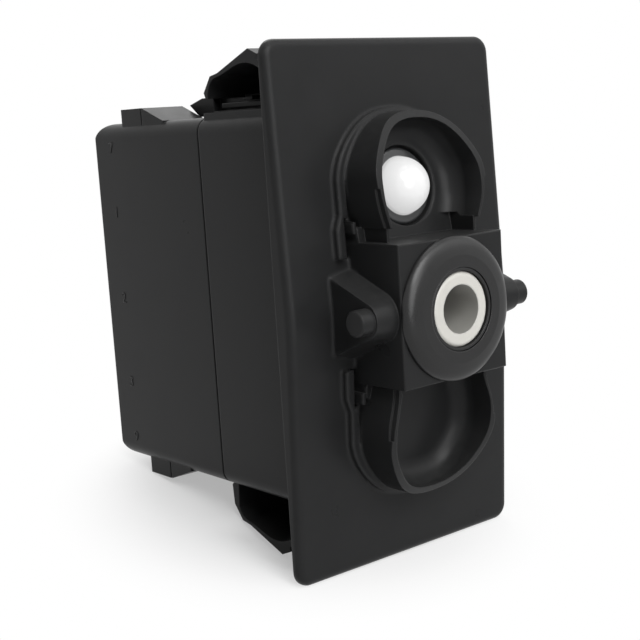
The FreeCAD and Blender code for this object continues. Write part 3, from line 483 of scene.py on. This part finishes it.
@dataclass(frozen=True)
class Moulding:
    """A moulded plastic or rubber finish. Its grain's slow noise moves the colour by the mottle and the
    roughness by the gloss swing, and edges are paler and glossier, partly from rubbing and partly as a
    painted highlight. A bore about the Y axis can be darker as painted shade, faces that look up are
    paler with dust and painted top light, and the edges between two levels along Y can be softer."""

    name: str
    colour: Colour
    edge_wear_and_highlight_colour: Colour
    roughness: float
    specular: float
    grain_scale: float = 9000.0
    grain_depth: float = 0.000002
    edge_radius: float = 0.00015
    edge_gain: float = 5.0
    edge_gloss: float = 0.1
    gloss_swing: float = 0.25
    mottle: float = 0.12
    dust_and_top_light: float = 0.05
    coat: float = 0.0
    coat_roughness: float = 0.1
    bore_r_mm: float = 0.0
    bore_blur_mm: float = 0.06
    painted_bore_shade: float = 1.0
    soft_levels_mm: tuple[float, float] = (0.0, 0.0)
    soft_radius: float = 0.0

    def build(self, effects: Effects) -> bpy.types.Material:
        """Makes the material.

        Args:
            effects: the shared shader groups.

        Returns:
            The material.
        """
        material, g, shader = new_finish(self.name, Specular_IOR_Level=self.specular, Coat_Weight=self.coat,
                                         Coat_Roughness=self.coat_roughness)
        grain = g.group(effects.grain, Scale=self.grain_scale)
        edges = g.group(effects.edges, Radius=self.edge_radius, Gain=self.edge_gain)
        if self.soft_radius:
            low, high = self.soft_levels_mm
            level = g.group(effects.level, Low=low * MM, High=high * MM)
            extra = g.maths("MULTIPLY", level.outputs["Inside"], self.soft_radius - self.edge_radius)
            g.link(g.maths("ADD", extra, self.edge_radius), edges.inputs["Radius"])
        dust_and_top_light = g.group(effects.dust_and_top_light, Amount=self.dust_and_top_light)
        body = g.blend(grain.outputs["Mottle"], shade(self.colour, 1.0 - self.mottle),
                       shade(self.colour, 1.0 + self.mottle))
        if self.bore_r_mm:
            painted_shade_zone = g.group(effects.painted_shade_zone, Radius=self.bore_r_mm * MM, Blur=self.bore_blur_mm * MM)
            # Painted shade: the inside of the bore is darker.
            body = g.blend(painted_shade_zone.outputs["Outside"], shade(self.colour, self.painted_bore_shade), body)
        # Paler edges: partly rub wear, partly painted highlight.
        worn = g.blend(edges.outputs["Edge"], body, self.edge_wear_and_highlight_colour)
        # Paler tops: partly dust, partly painted top light.
        g.link(g.blend(dust_and_top_light.outputs["Mask"], worn, DUST_AND_TOP_LIGHT_COLOUR), shader.inputs["Base Color"])
        rough = g.swing(grain.outputs["Mottle"], self.roughness, self.gloss_swing)
        gloss = g.maths("MULTIPLY", edges.outputs["Edge"], self.edge_gloss)
        g.link(g.maths("SUBTRACT", rough, gloss, clamp=True), shader.inputs["Roughness"])
        g.grained(shader, grain.outputs["Height"], self.grain_depth, edges.outputs["Normal"])
        return material


class Draw(Enum):
    """Direction in which a metal piece was drawn or rolled, as an index of X, Y, Z."""

    ALONG = 1
    UP = 2


@dataclass(frozen=True)
class Metal:
    """A rolled, drawn or plated metal finish. Its streaks are a noise with a large scale across the
    draw and a small one along it, and its stains are a slower noise past a threshold."""

    name: str
    colour: Colour
    tarnish: Colour
    roughness: float
    draw: Draw = Draw.ALONG
    streak_depth: float = 0.0000015
    streak_across: float = 14000.0
    streak_along: float = 500.0
    stain_scale: float = 420.0
    stain_from: float = 0.42
    stain_gain: float = 2.2
    gloss_swing: float = 0.3
    edge_radius: float = 0.00008
    edge_gain: float = 3.0
    edge_light: float = 1.15

    def build(self, effects: Effects) -> bpy.types.Material:
        """Makes the material.

        Args:
            effects: the shared shader groups.

        Returns:
            The material.
        """
        material, g, shader = new_finish(self.name, Metallic=1.0)
        place = g.place()
        scale = [self.streak_across] * 3
        scale[self.draw.value] = self.streak_along
        stretch = g.add("ShaderNodeMapping", Scale=scale)
        g.link(place, stretch.inputs["Vector"])
        streaks = g.add("ShaderNodeTexNoise", Scale=1.0, Detail=4.0, Roughness=0.6)
        g.link(stretch.outputs["Vector"], streaks.inputs["Vector"])
        stain = g.add("ShaderNodeTexNoise", Scale=self.stain_scale, Detail=5.0, Roughness=0.65)
        g.link(place, stain.inputs["Vector"])
        past = g.maths("SUBTRACT", stain.outputs["Fac"], self.stain_from)
        patch = g.maths("MULTIPLY", past, self.stain_gain, clamp=True)
        edges = g.group(effects.edges, Radius=self.edge_radius, Gain=self.edge_gain)
        body = g.blend(patch, self.colour, self.tarnish)
        worn = g.blend(edges.outputs["Edge"], body, shade(self.colour, self.edge_light))
        g.link(worn, shader.inputs["Base Color"])
        rough = g.swing(streaks.outputs["Fac"], self.roughness, self.gloss_swing, clamp=True)
        g.link(rough, shader.inputs["Roughness"])
        g.grained(shader, streaks.outputs["Fac"], self.streak_depth, edges.outputs["Normal"])
        return material


@dataclass(frozen=True)
class Banded:
    """A dipped resistor body with colour bands across its length."""

    name: str
    colour: Colour
    bands: tuple[tuple[float, Colour], ...]
    start_mm: float
    length_mm: float
    half_band: float = 0.05
    roughness: float = 0.35

    def build(self, effects: Effects) -> bpy.types.Material:
        """Makes the material. A band covers the places whose share of the length is near its own.

        Args:
            effects: the shared shader groups.

        Returns:
            The material.
        """
        material, g, shader = new_finish(self.name, Roughness=self.roughness)
        parts = g.add("ShaderNodeSeparateXYZ")
        g.link(g.place(), parts.inputs[0])
        run = g.maths("SUBTRACT", parts.outputs["Y"], self.start_mm * MM)
        share = g.maths("DIVIDE", run, self.length_mm * MM)
        colour: object = self.colour
        for at, tint in self.bands:
            away = g.maths("ABSOLUTE", g.maths("SUBTRACT", share, at))
            colour = g.blend(g.maths("LESS_THAN", away, self.half_band), colour, tint)
        g.link(colour, shader.inputs["Base Color"])
        g.link(g.group(effects.edges).outputs["Normal"], shader.inputs["Normal"])
        return material


@dataclass(frozen=True)
class MilkLens:
    """The milky domed lens: glossy and faintly lit, with painted shade that darkens the collar round its
    foot. The dome's axis passes through the centre and rises towards the front by the tilt, in degrees."""

    name: str
    colour: Colour
    roughness: float
    painted_collar_shade: Colour
    glow_colour: Colour
    centre_mm: Place
    tilt: float
    dome_r_mm: float
    blur_mm: float = 0.1
    specular: float = 0.3
    coat: float = 0.2
    coat_roughness: float = 0.06
    cloud_scale: float = 3000.0
    cloud_shade: float = 0.97
    gloss_swing: float = 0.08

    def build(self, effects: Effects) -> bpy.types.Material:
        """Makes the material.

        Args:
            effects: the shared shader groups.

        Returns:
            The material.
        """
        material, g, shader = new_finish(self.name, Coat_Weight=self.coat, Coat_Roughness=self.coat_roughness,
                                         Specular_IOR_Level=self.specular, Emission_Strength=1.0)
        grain = g.group(effects.grain, Scale=self.cloud_scale)
        turn = math.radians(self.tilt)
        painted_shade_zone = g.group(effects.painted_shade_zone, Centre=tuple(v * MM for v in self.centre_mm),
                       Axis=(0.0, math.cos(turn), -math.sin(turn)), Radius=self.dome_r_mm * MM,
                       Blur=self.blur_mm * MM)
        outside = painted_shade_zone.outputs["Outside"]
        body = g.blend(grain.outputs["Mottle"], shade(self.colour, self.cloud_shade), self.colour)
        # Painted shade: the collar outside the dome gets a dark colour.
        g.link(g.blend(outside, body, self.painted_collar_shade), shader.inputs["Base Color"])
        g.link(g.blend(outside, self.glow_colour, NO_GLOW), shader.inputs["Emission Color"])
        rise = g.maths("MULTIPLY", grain.outputs["Mottle"], self.gloss_swing)
        g.link(g.maths("ADD", rise, self.roughness), shader.inputs["Roughness"])
        return material


Finish = Moulding | Metal | Banded | MilkLens


# Studio


def direction(azimuth: float, elevation: float) -> Vector:
    """Returns the unit vector from the part to a viewer, in degrees to the right of the front and up."""
    a, e = math.radians(azimuth), math.radians(elevation)
    return Vector((math.sin(a) * math.cos(e), -math.cos(a) * math.cos(e), math.sin(e)))


def grey(level: float) -> tuple[float, float, float, float]:
    """Returns a grey as a socket holds it."""
    return (level, level, level, 1.0)


def seen_rays(g: Graph) -> bpy.types.NodeSocket:
    """Adds a value that is 1 for rays from the eye, straight, by a mirror or through glass, and else 0.

    Args:
        g: graph of the material or world.

    Returns:
        The value.
    """
    rays = g.add("ShaderNodeLightPath")
    seen = g.maths("MAXIMUM", rays.outputs["Is Camera Ray"], rays.outputs["Is Glossy Ray"])
    return g.maths("MAXIMUM", seen, rays.outputs["Is Transmission Ray"])


@dataclass(frozen=True)
class Camera:
    """The photograph's camera, found from the plate's and the collar's edges."""

    place_mm: Place = (-77.73, -85.15, 17.30)
    azimuth: float = -39.0
    elevation: float = 9.18
    roll: float = -3.635
    lens_mm: float = 69.898
    sensor_mm: float = 36.0
    clip_start: float = 0.005
    clip_end: float = 10.0

    def build(self) -> bpy.types.Object:
        """Makes the camera, looking back along its azimuth and elevation, turned by its roll.

        Returns:
            The camera object.
        """
        back = direction(self.azimuth, self.elevation)
        right = (-back).cross(Vector((0.0, 0.0, 1.0))).normalized()
        up = right.cross(-back)
        r = math.radians(self.roll)
        right_rolled = math.cos(r) * right + math.sin(r) * up
        up_rolled = math.cos(r) * up - math.sin(r) * right
        data = bpy.data.cameras.new("camera")
        data.lens = self.lens_mm
        data.sensor_width = self.sensor_mm
        data.clip_start = self.clip_start
        data.clip_end = self.clip_end
        obj = add_object("camera", data)
        turn = Matrix((right_rolled, up_rolled, back)).transposed().to_4x4()
        turn.translation = Vector(self.place_mm) * MM
        obj.matrix_world = turn
        bpy.context.scene.camera = obj
        return obj


@dataclass(frozen=True)
class Lamp:
    """One round, soft, white lamp aimed at the part, with its angles in degrees."""

    name: str
    azimuth: float
    elevation: float
    distance: float
    size: float
    watts: float

    def build(self, target: Vector) -> bpy.types.Object:
        """Places the lamp round the target and turns it to face it.

        Args:
            target: the point it looks at.

        Returns:
            The lamp object.
        """
        back = direction(self.azimuth, self.elevation)
        data = bpy.data.lights.new(self.name, "AREA")
        data.shape = "DISK"
        data.size = self.size
        data.energy = self.watts
        obj = add_object(self.name, data)
        turn = back.to_track_quat("Z", "Y").to_matrix().to_4x4()
        turn.translation = target + back * self.distance
        obj.matrix_world = turn
        return obj


@dataclass(frozen=True)
class Floor:
    """Pale floor that the switch stands on by its plate's foot and leans back on, with a soft dip
    under the lower wing, which presses into it."""

    foot_mm: tuple[float, float] = (-0.5, -24.25)
    lean: float = 8.9
    radius: float = 0.9
    rings: int = 90
    spokes: int = 96
    ring_growth: float = 2.2
    centre_y_mm: float = 8.0
    dip_mm: float = 1.4
    dip_half_mm: tuple[float, float] = (9.4, 4.0)
    dip_soft_mm: tuple[float, float] = (2.0, 2.5)
    shadow_centre_mm: Place = (0.0, 15.0, -21.8)
    fade_mm: tuple[float, float] = (14.0, 27.0)
    bounce: float = 0.8
    shadow: float = 0.50
    lift: float = 0.415

    def outside_dip(self, away: np.ndarray, axis: int) -> np.ndarray:
        """Returns 0 inside the dip along one axis, rising straight to 1 past its soft border."""
        half, soft = self.dip_half_mm[axis] * MM, self.dip_soft_mm[axis] * MM
        return np.clip((np.abs(away) - half) / soft, 0.0, 1.0)

    def points(self) -> np.ndarray:
        """Works out the floor disc, whose rings grow wider outwards.

        A point at radius r and turn t stands r cos t to the right and r sin t behind the centre. Its
        height is the foot's, plus its distance behind the foot times the slope of the lean, less the
        dip times what is inside it both ways.

        Returns:
            Grid of points in metres.
        """
        r = self.radius * np.linspace(0.0, 1.0, self.rings) ** self.ring_growth
        t = np.linspace(0.0, 2.0 * math.pi, self.spokes, endpoint=False)
        rr, tt = np.meshgrid(r, t, indexing="ij")
        centre_y = self.centre_y_mm * MM
        x = rr * np.cos(tt)
        y = rr * np.sin(tt) + centre_y
        foot_y, foot_z = (v * MM for v in self.foot_mm)
        inside = (1.0 - self.outside_dip(x, 0)) * (1.0 - self.outside_dip(y - centre_y, 1))
        z = foot_z + (y - foot_y) * math.tan(math.radians(self.lean)) - self.dip_mm * MM * inside
        return np.stack([x, y, z], -1)

    def finish(self) -> bpy.types.Material:
        """White matte floor that takes the part's shadow. Rays that are seen find a softened shadow
        near the part and plain white away from it, blended by a smooth step of the distance.

        Returns:
            The material.
        """
        material, g, surface = new_material("floor_white")
        bounce = g.add("ShaderNodeBsdfDiffuse", Color=grey(self.bounce))
        shaded = g.add("ShaderNodeBsdfDiffuse", Color=grey(self.shadow))
        lift = g.add("ShaderNodeEmission", Color=grey(self.lift))
        white = g.add("ShaderNodeEmission", Color=grey(1.0))
        near_part = g.add("ShaderNodeAddShader")
        g.link(shaded.outputs[0], near_part.inputs[0])
        g.link(lift.outputs[0], near_part.inputs[1])
        away = g.add("ShaderNodeVectorMath", operation="DISTANCE")
        g.link(g.place(), away.inputs[0])
        away.inputs[1].default_value = tuple(v * MM for v in self.shadow_centre_mm)
        near, far = self.fade_mm
        fade = g.smooth_step(away.outputs["Value"], near * MM, far * MM)
        look = g.mix_shaders(fade, near_part, white)
        g.link(g.mix_shaders(seen_rays(g), bounce, look).outputs[0], surface)
        return material

    def build(self) -> None:
        """Makes the floor, which is no part of the switch."""
        Surface("floor", self.points(), False, True).build(self.finish())


@dataclass(frozen=True)
class Studio:
    """World, lamps and floor."""

    aim_mm: Place = (0.0, 12.0, 0.0)
    world_level: float = 0.08
    floor: Floor = Floor()
    lamps: tuple[Lamp, ...] = (
        Lamp("key", -18.0, 40.0, 0.45, 0.26, 1.25),
        Lamp("fill", 45.0, 30.0, 0.5, 0.35, 0.3),
        Lamp("front", 15.0, 45.0, 0.5, 0.30, 0.4),
        Lamp("low", -8.0, 12.0, 0.45, 0.30, 0.9),
        Lamp("top", 10.0, 84.0, 0.5, 0.30, 0.35),
        Lamp("rear", 150.0, 50.0, 0.5, 0.30, 0.5),
    )

    def world(self) -> None:
        """Sets a soft grey surround that the camera and mirrors see as white."""
        world = bpy.data.worlds.new("studio")
        bpy.context.scene.world = world
        world.use_nodes = True
        world.node_tree.nodes.clear()
        g = Graph(world.node_tree)
        sky = g.add("ShaderNodeBackground", Color=grey(1.0))
        rest = g.maths("MULTIPLY", seen_rays(g), 1.0 - self.world_level)
        g.link(g.maths("ADD", self.world_level, rest), sky.inputs["Strength"])
        g.link(sky.outputs[0], g.add("ShaderNodeOutputWorld").inputs["Surface"])

    def build(self) -> None:
        """Builds world, lamps and floor."""
        self.world()
        for lamp in self.lamps:
            lamp.build(Vector(self.aim_mm) * MM)
        self.floor.build()
        log.info("studio ready")


# The switch


@dataclass
class Paint:
    """Puts finishes on the nodes that the model brings, each finish built once."""

    effects: Effects
    made: dict[str, bpy.types.Material] = field(default_factory=dict)

    def finish(self, kind: Finish) -> bpy.types.Material:
        """Finds the material of a finish, which is built on first use.

        Args:
            kind: the finish.

        Returns:
            Its material.
        """
        if kind.name not in self.made:
            self.made[kind.name] = kind.build(self.effects)
        return self.made[kind.name]

    def nodes(self, kind: Finish, names: Iterable[str]) -> None:
        """Dresses CAD nodes in one finish.

        Args:
            kind: the finish.
            names: the nodes' names.
        """
        material = self.finish(kind)
        for name in names:
            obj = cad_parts[name]
            obj.data.materials.clear()
            obj.data.materials.append(material)
            log.info("dressed %s in %s", name, kind.name)


BLACK_NYLON = Moulding("black_nylon", (0.0128, 0.0130, 0.0133), (0.024, 0.024, 0.0245), 0.33, 0.11,
                       soft_levels_mm=(-3.0, -0.6), soft_radius=0.0006)
BLACK_RUBBER = Moulding("black_rubber", (0.0075, 0.0075, 0.0077), (0.012, 0.012, 0.0122), 0.30, 0.32,
                        grain_scale=12000.0, grain_depth=0.0000012)
# The ivory's pale edge colour is partly rub wear and partly a painted highlight.
IVORY_ACETAL = Moulding("ivory_acetal", (0.47, 0.462, 0.43), (0.74, 0.73, 0.69), 0.38, 0.5,
                        grain_depth=0.0000008, mottle=0.03, dust_and_top_light=0.02, bore_r_mm=2.27, painted_bore_shade=0.62)
WHITE_ACETAL = Moulding("white_acetal", (0.80, 0.80, 0.77), (0.86, 0.86, 0.84), 0.35, 0.5,
                        grain_depth=0.0000008, mottle=0.03, dust_and_top_light=0.0)
CLEAR_RESIN = Moulding("clear_resin", (0.72, 0.76, 0.80), (0.8, 0.83, 0.86), 0.12, 0.5,
                       grain_depth=0.0000004, mottle=0.04, dust_and_top_light=0.0, coat=0.6)
LENS_WHITE = MilkLens("lens_white", (0.27, 0.27, 0.27), 0.16, (0.030, 0.031, 0.032), (0.57, 0.57, 0.57),
                      centre_mm=(0.0, -2.417, 10.9), tilt=8.5, dome_r_mm=2.68)
BRASS = Metal("stamped_brass", (0.74, 0.56, 0.27), (0.55, 0.38, 0.17), 0.30)
COPPER = Metal("stamped_copper", (0.80, 0.42, 0.26), (0.50, 0.24, 0.14), 0.32, draw=Draw.UP)
SILVER = Metal("contact_silver", (0.88, 0.87, 0.83), (0.62, 0.60, 0.54), 0.22)
TINNED = Metal("tinned_wire", (0.74, 0.74, 0.72), (0.50, 0.50, 0.48), 0.34)
SPRING = Metal("spring_wire", (0.62, 0.62, 0.61), (0.40, 0.40, 0.39), 0.28)
RESISTOR = Banded("resistor_coat", (0.60, 0.46, 0.28),
                  ((0.22, (0.45, 0.22, 0.03)), (0.40, (0.02, 0.02, 0.02)), (0.58, (0.5, 0.05, 0.03)),
                   (0.80, (0.66, 0.5, 0.16))), start_mm=11.6, length_mm=3.6)


@dataclass(frozen=True)
class PlungerSpring:
    """One compression spring with closed end coils, drawn from its wire and coil radius. The closed
    pitch is in wire radii, and the closed share is how much of an end turn stays closed."""

    side: str
    coil_r_mm: float = 1.12
    wire_r_mm: float = 0.17
    turns: float = 6.0
    closed_pitch: float = 2.1
    closed_share: float = 0.9
    stroke_mm: float = 1.2
    steps_a_turn: int = 36
    wire_steps: int = 12

    def centre_line(self, x_mm: float, y0_mm: float, y1_mm: float) -> tuple[np.ndarray, np.ndarray]:
        """Works out the coil.

        The line turns evenly round the axis at the coil's radius. Its place along Y gains one closed
        pitch over the first turn and one over the last, and the rest of the length is a smooth step
        that starts where the first turn's closed share ends and stops where the last one's begins.

        Args:
            x_mm: X of the spring's axis.
            y0_mm: centre of the first coil along Y.
            y1_mm: centre of the last coil along Y.

        Returns:
            Points of the line in mm, and at each the direction away from the axis.
        """
        t = np.linspace(0.0, 1.0, int(self.turns * self.steps_a_turn) + 1)
        end = 1.0 / self.turns
        flat = self.closed_share * end
        middle = np.clip((t - flat) / (1.0 - 2.0 * flat), 0.0, 1.0)
        closed = self.closed_pitch * self.wire_r_mm
        y = y0_mm + closed * np.clip(t / end, 0.0, 1.0) + closed * np.clip((t - 1.0 + end) / end, 0.0, 1.0)
        y = y + (y1_mm - y0_mm - 2.0 * closed) * (3.0 * middle ** 2 - 2.0 * middle ** 3)
        turn = 2.0 * math.pi * self.turns * t
        out = np.stack([np.cos(turn), np.zeros_like(t), np.sin(turn)], -1)
        line = np.stack([x_mm + self.coil_r_mm * out[:, 0], y, self.coil_r_mm * out[:, 2]], -1)
        return line, out

    def points(self, x_mm: float, y0_mm: float, y1_mm: float) -> np.ndarray:
        """Carries the wire's circle along the coil.

        Side is the direction away from the axis without its share along the line, and up is upright
        to both. A point at turn a is the line's point plus the wire's radius times cos a side plus
        sin a up. The radius is nothing at both ends, which closes them.

        Args:
            x_mm: X of the spring's axis.
            y0_mm: centre of the first coil along Y.
            y1_mm: centre of the last coil along Y.

        Returns:
            Grid of points in metres.
        """
        line, out = self.centre_line(x_mm, y0_mm, y1_mm)
        along = np.gradient(line, axis=0)
        along /= np.linalg.norm(along, axis=1, keepdims=True)
        side = out - along * np.sum(out * along, axis=1, keepdims=True)
        side /= np.linalg.norm(side, axis=1, keepdims=True)
        up = np.cross(along, side)
        a = np.linspace(0.0, 2.0 * math.pi, self.wire_steps, endpoint=False)[None, :, None]
        r = np.full(len(line), self.wire_r_mm)
        r[[0, -1]] = 0.0
        circle = np.cos(a) * side[:, None, :] + np.sin(a) * up[:, None, :]
        return (line[:, None, :] + r[:, None, None] * circle) * MM

    def build(self, material: bpy.types.Material) -> bpy.types.Object:
        """Makes the spring, which rides with the lever.

        Args:
            material: the wire's finish.

        Returns:
            The spring.
        """
        node = f"plunger_spring_{self.side}"
        low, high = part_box(node)
        x = (low[0] + high[0]) / 2.0 / MM
        y0 = low[1] / MM + self.wire_r_mm
        y1 = high[1] / MM - self.wire_r_mm
        obj = Surface(f"coil_{self.side}", self.points(x, y0, y1), False, True).build(material)
        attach(obj, "lever")
        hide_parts(node)
        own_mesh(obj)
        return obj


@dataclass(frozen=True)
class RowNumbers:
    """Low raised numbers on both sides of the base, one beside each row of blades."""

    height_mm: float = 1.15
    size_for_height: float = 1.4
    raise_mm: float = 0.06
    side_x_mm: float = 10.5
    centre_y_mm: float = 31.0
    curve_steps: int = 6
    left: tuple[tuple[str, float], ...] = (("7", 15.6), ("1", 8.8), ("2", -0.4), ("3", -9.6), ("9", -15.75))
    right: tuple[tuple[str, float], ...] = (("8", 15.6), ("4", 8.8), ("5", -0.4), ("6", -9.6), ("10", -15.75))

    def digit(self, text: str) -> bpy.types.Mesh:
        """Makes one number as a mesh, flat in X and Y and raised along Z, centred on its box.

        Args:
            text: the number.

        Returns:
            Its mesh, in metres.
        """
        curve = bpy.data.curves.new("number", "FONT")
        curve.body = text
        curve.align_x = "CENTER"
        curve.align_y = "CENTER"
        curve.size = self.height_mm * MM * self.size_for_height
        curve.extrude = self.raise_mm * MM
        curve.resolution_u = self.curve_steps
        maker = bpy.data.objects.new("number", curve)
        mesh = bpy.data.meshes.new_from_object(maker)
        bpy.data.objects.remove(maker)
        return mesh

    def build(self, material: bpy.types.Material) -> None:
        """Places the numbers. On the left a number's right is -Y, on the right it is +Y.

        Args:
            material: the base's finish.
        """
        up = Vector((0.0, 0.0, 1.0))
        for sign, rows in ((-1.0, self.left), (1.0, self.right)):
            across = Vector((0.0, sign, 0.0))
            for text, z_mm in rows:
                mesh = self.digit(text)
                turn = Matrix((across, up, across.cross(up))).transposed().to_4x4()
                turn.translation = Vector((sign * self.side_x_mm, self.centre_y_mm, z_mm)) * MM
                mesh.transform(turn)
                mesh.materials.clear()
                mesh.materials.append(material)
                obj = add_object(f"row_number_{text}", mesh)
                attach(obj, "housing")
                log.info("made row number %s", text)


@dataclass(frozen=True)
class LeverUnit:
    """Ivory lever with its rubber lip, the two plungers and their springs."""

    springs: tuple[PlungerSpring, ...] = tuple(PlungerSpring(side) for side in SIDES)

    def build(self, paint: Paint) -> None:
        """Dresses the nodes and adds the springs.

        Args:
            paint: puts the finishes on.
        """
        paint.nodes(IVORY_ACETAL, ("lever",))
        paint.nodes(BLACK_RUBBER, ("seal_lip",))
        paint.nodes(WHITE_ACETAL, [f"plunger_{side}" for side in SIDES])
        for spring in self.springs:
            spring.build(paint.finish(SPRING))


@dataclass(frozen=True)
class ContactUnit:
    """Copper bridges, silver tips and brass blades."""

    blades: int = 8

    def build(self, paint: Paint) -> None:
        """Dresses the nodes.

        Args:
            paint: puts the finishes on.
        """
        paint.nodes(COPPER, [f"rocker_contact_{side}" for side in SIDES])
        paint.nodes(SILVER, [f"{kind}_tip_{side}_{end}" for kind in ("moving", "fixed")
                             for side in SIDES for end in ENDS])
        paint.nodes(BRASS, [f"terminal_{number}" for number in range(1, self.blades + 1)])


@dataclass(frozen=True)
class LampUnit:
    """Lens, lamp, resistor and their wires."""

    leads: tuple[str, ...] = ("left", "right", "tail")

    def build(self, paint: Paint) -> None:
        """Dresses the nodes.

        Args:
            paint: puts the finishes on.
        """
        paint.nodes(LENS_WHITE, ("lamp_lens",))
        paint.nodes(CLEAR_RESIN, ("lamp_led",))
        paint.nodes(RESISTOR, ("lamp_resistor",))
        paint.nodes(TINNED, [f"lamp_lead_{lead}" for lead in self.leads])


@dataclass(frozen=True)
class Housing:
    """Black bracket and base, the rubber ring, and the numbers on the base."""

    numbers: RowNumbers = RowNumbers()

    def build(self, paint: Paint) -> None:
        """Dresses the nodes and adds the numbers.

        Args:
            paint: puts the finishes on.
        """
        paint.nodes(BLACK_NYLON, ("bracket", "rear_base"))
        paint.nodes(BLACK_RUBBER, ("seal_ring",))
        self.numbers.build(paint.finish(BLACK_NYLON))


def main() -> None:
    """Builds the studio and the switch's units in order."""
    logging.basicConfig(level=logging.INFO, format="%(name)s: %(message)s")
    bpy.context.scene.view_settings.view_transform = "Standard"
    Camera().build()
    Studio().build()
    paint = Paint(Effects())
    for unit in (LeverUnit(), ContactUnit(), LampUnit(), Housing()):
        unit.build(paint)
        log.info("finished %s", type(unit).__name__)


if __name__ == "__main__":
    main()
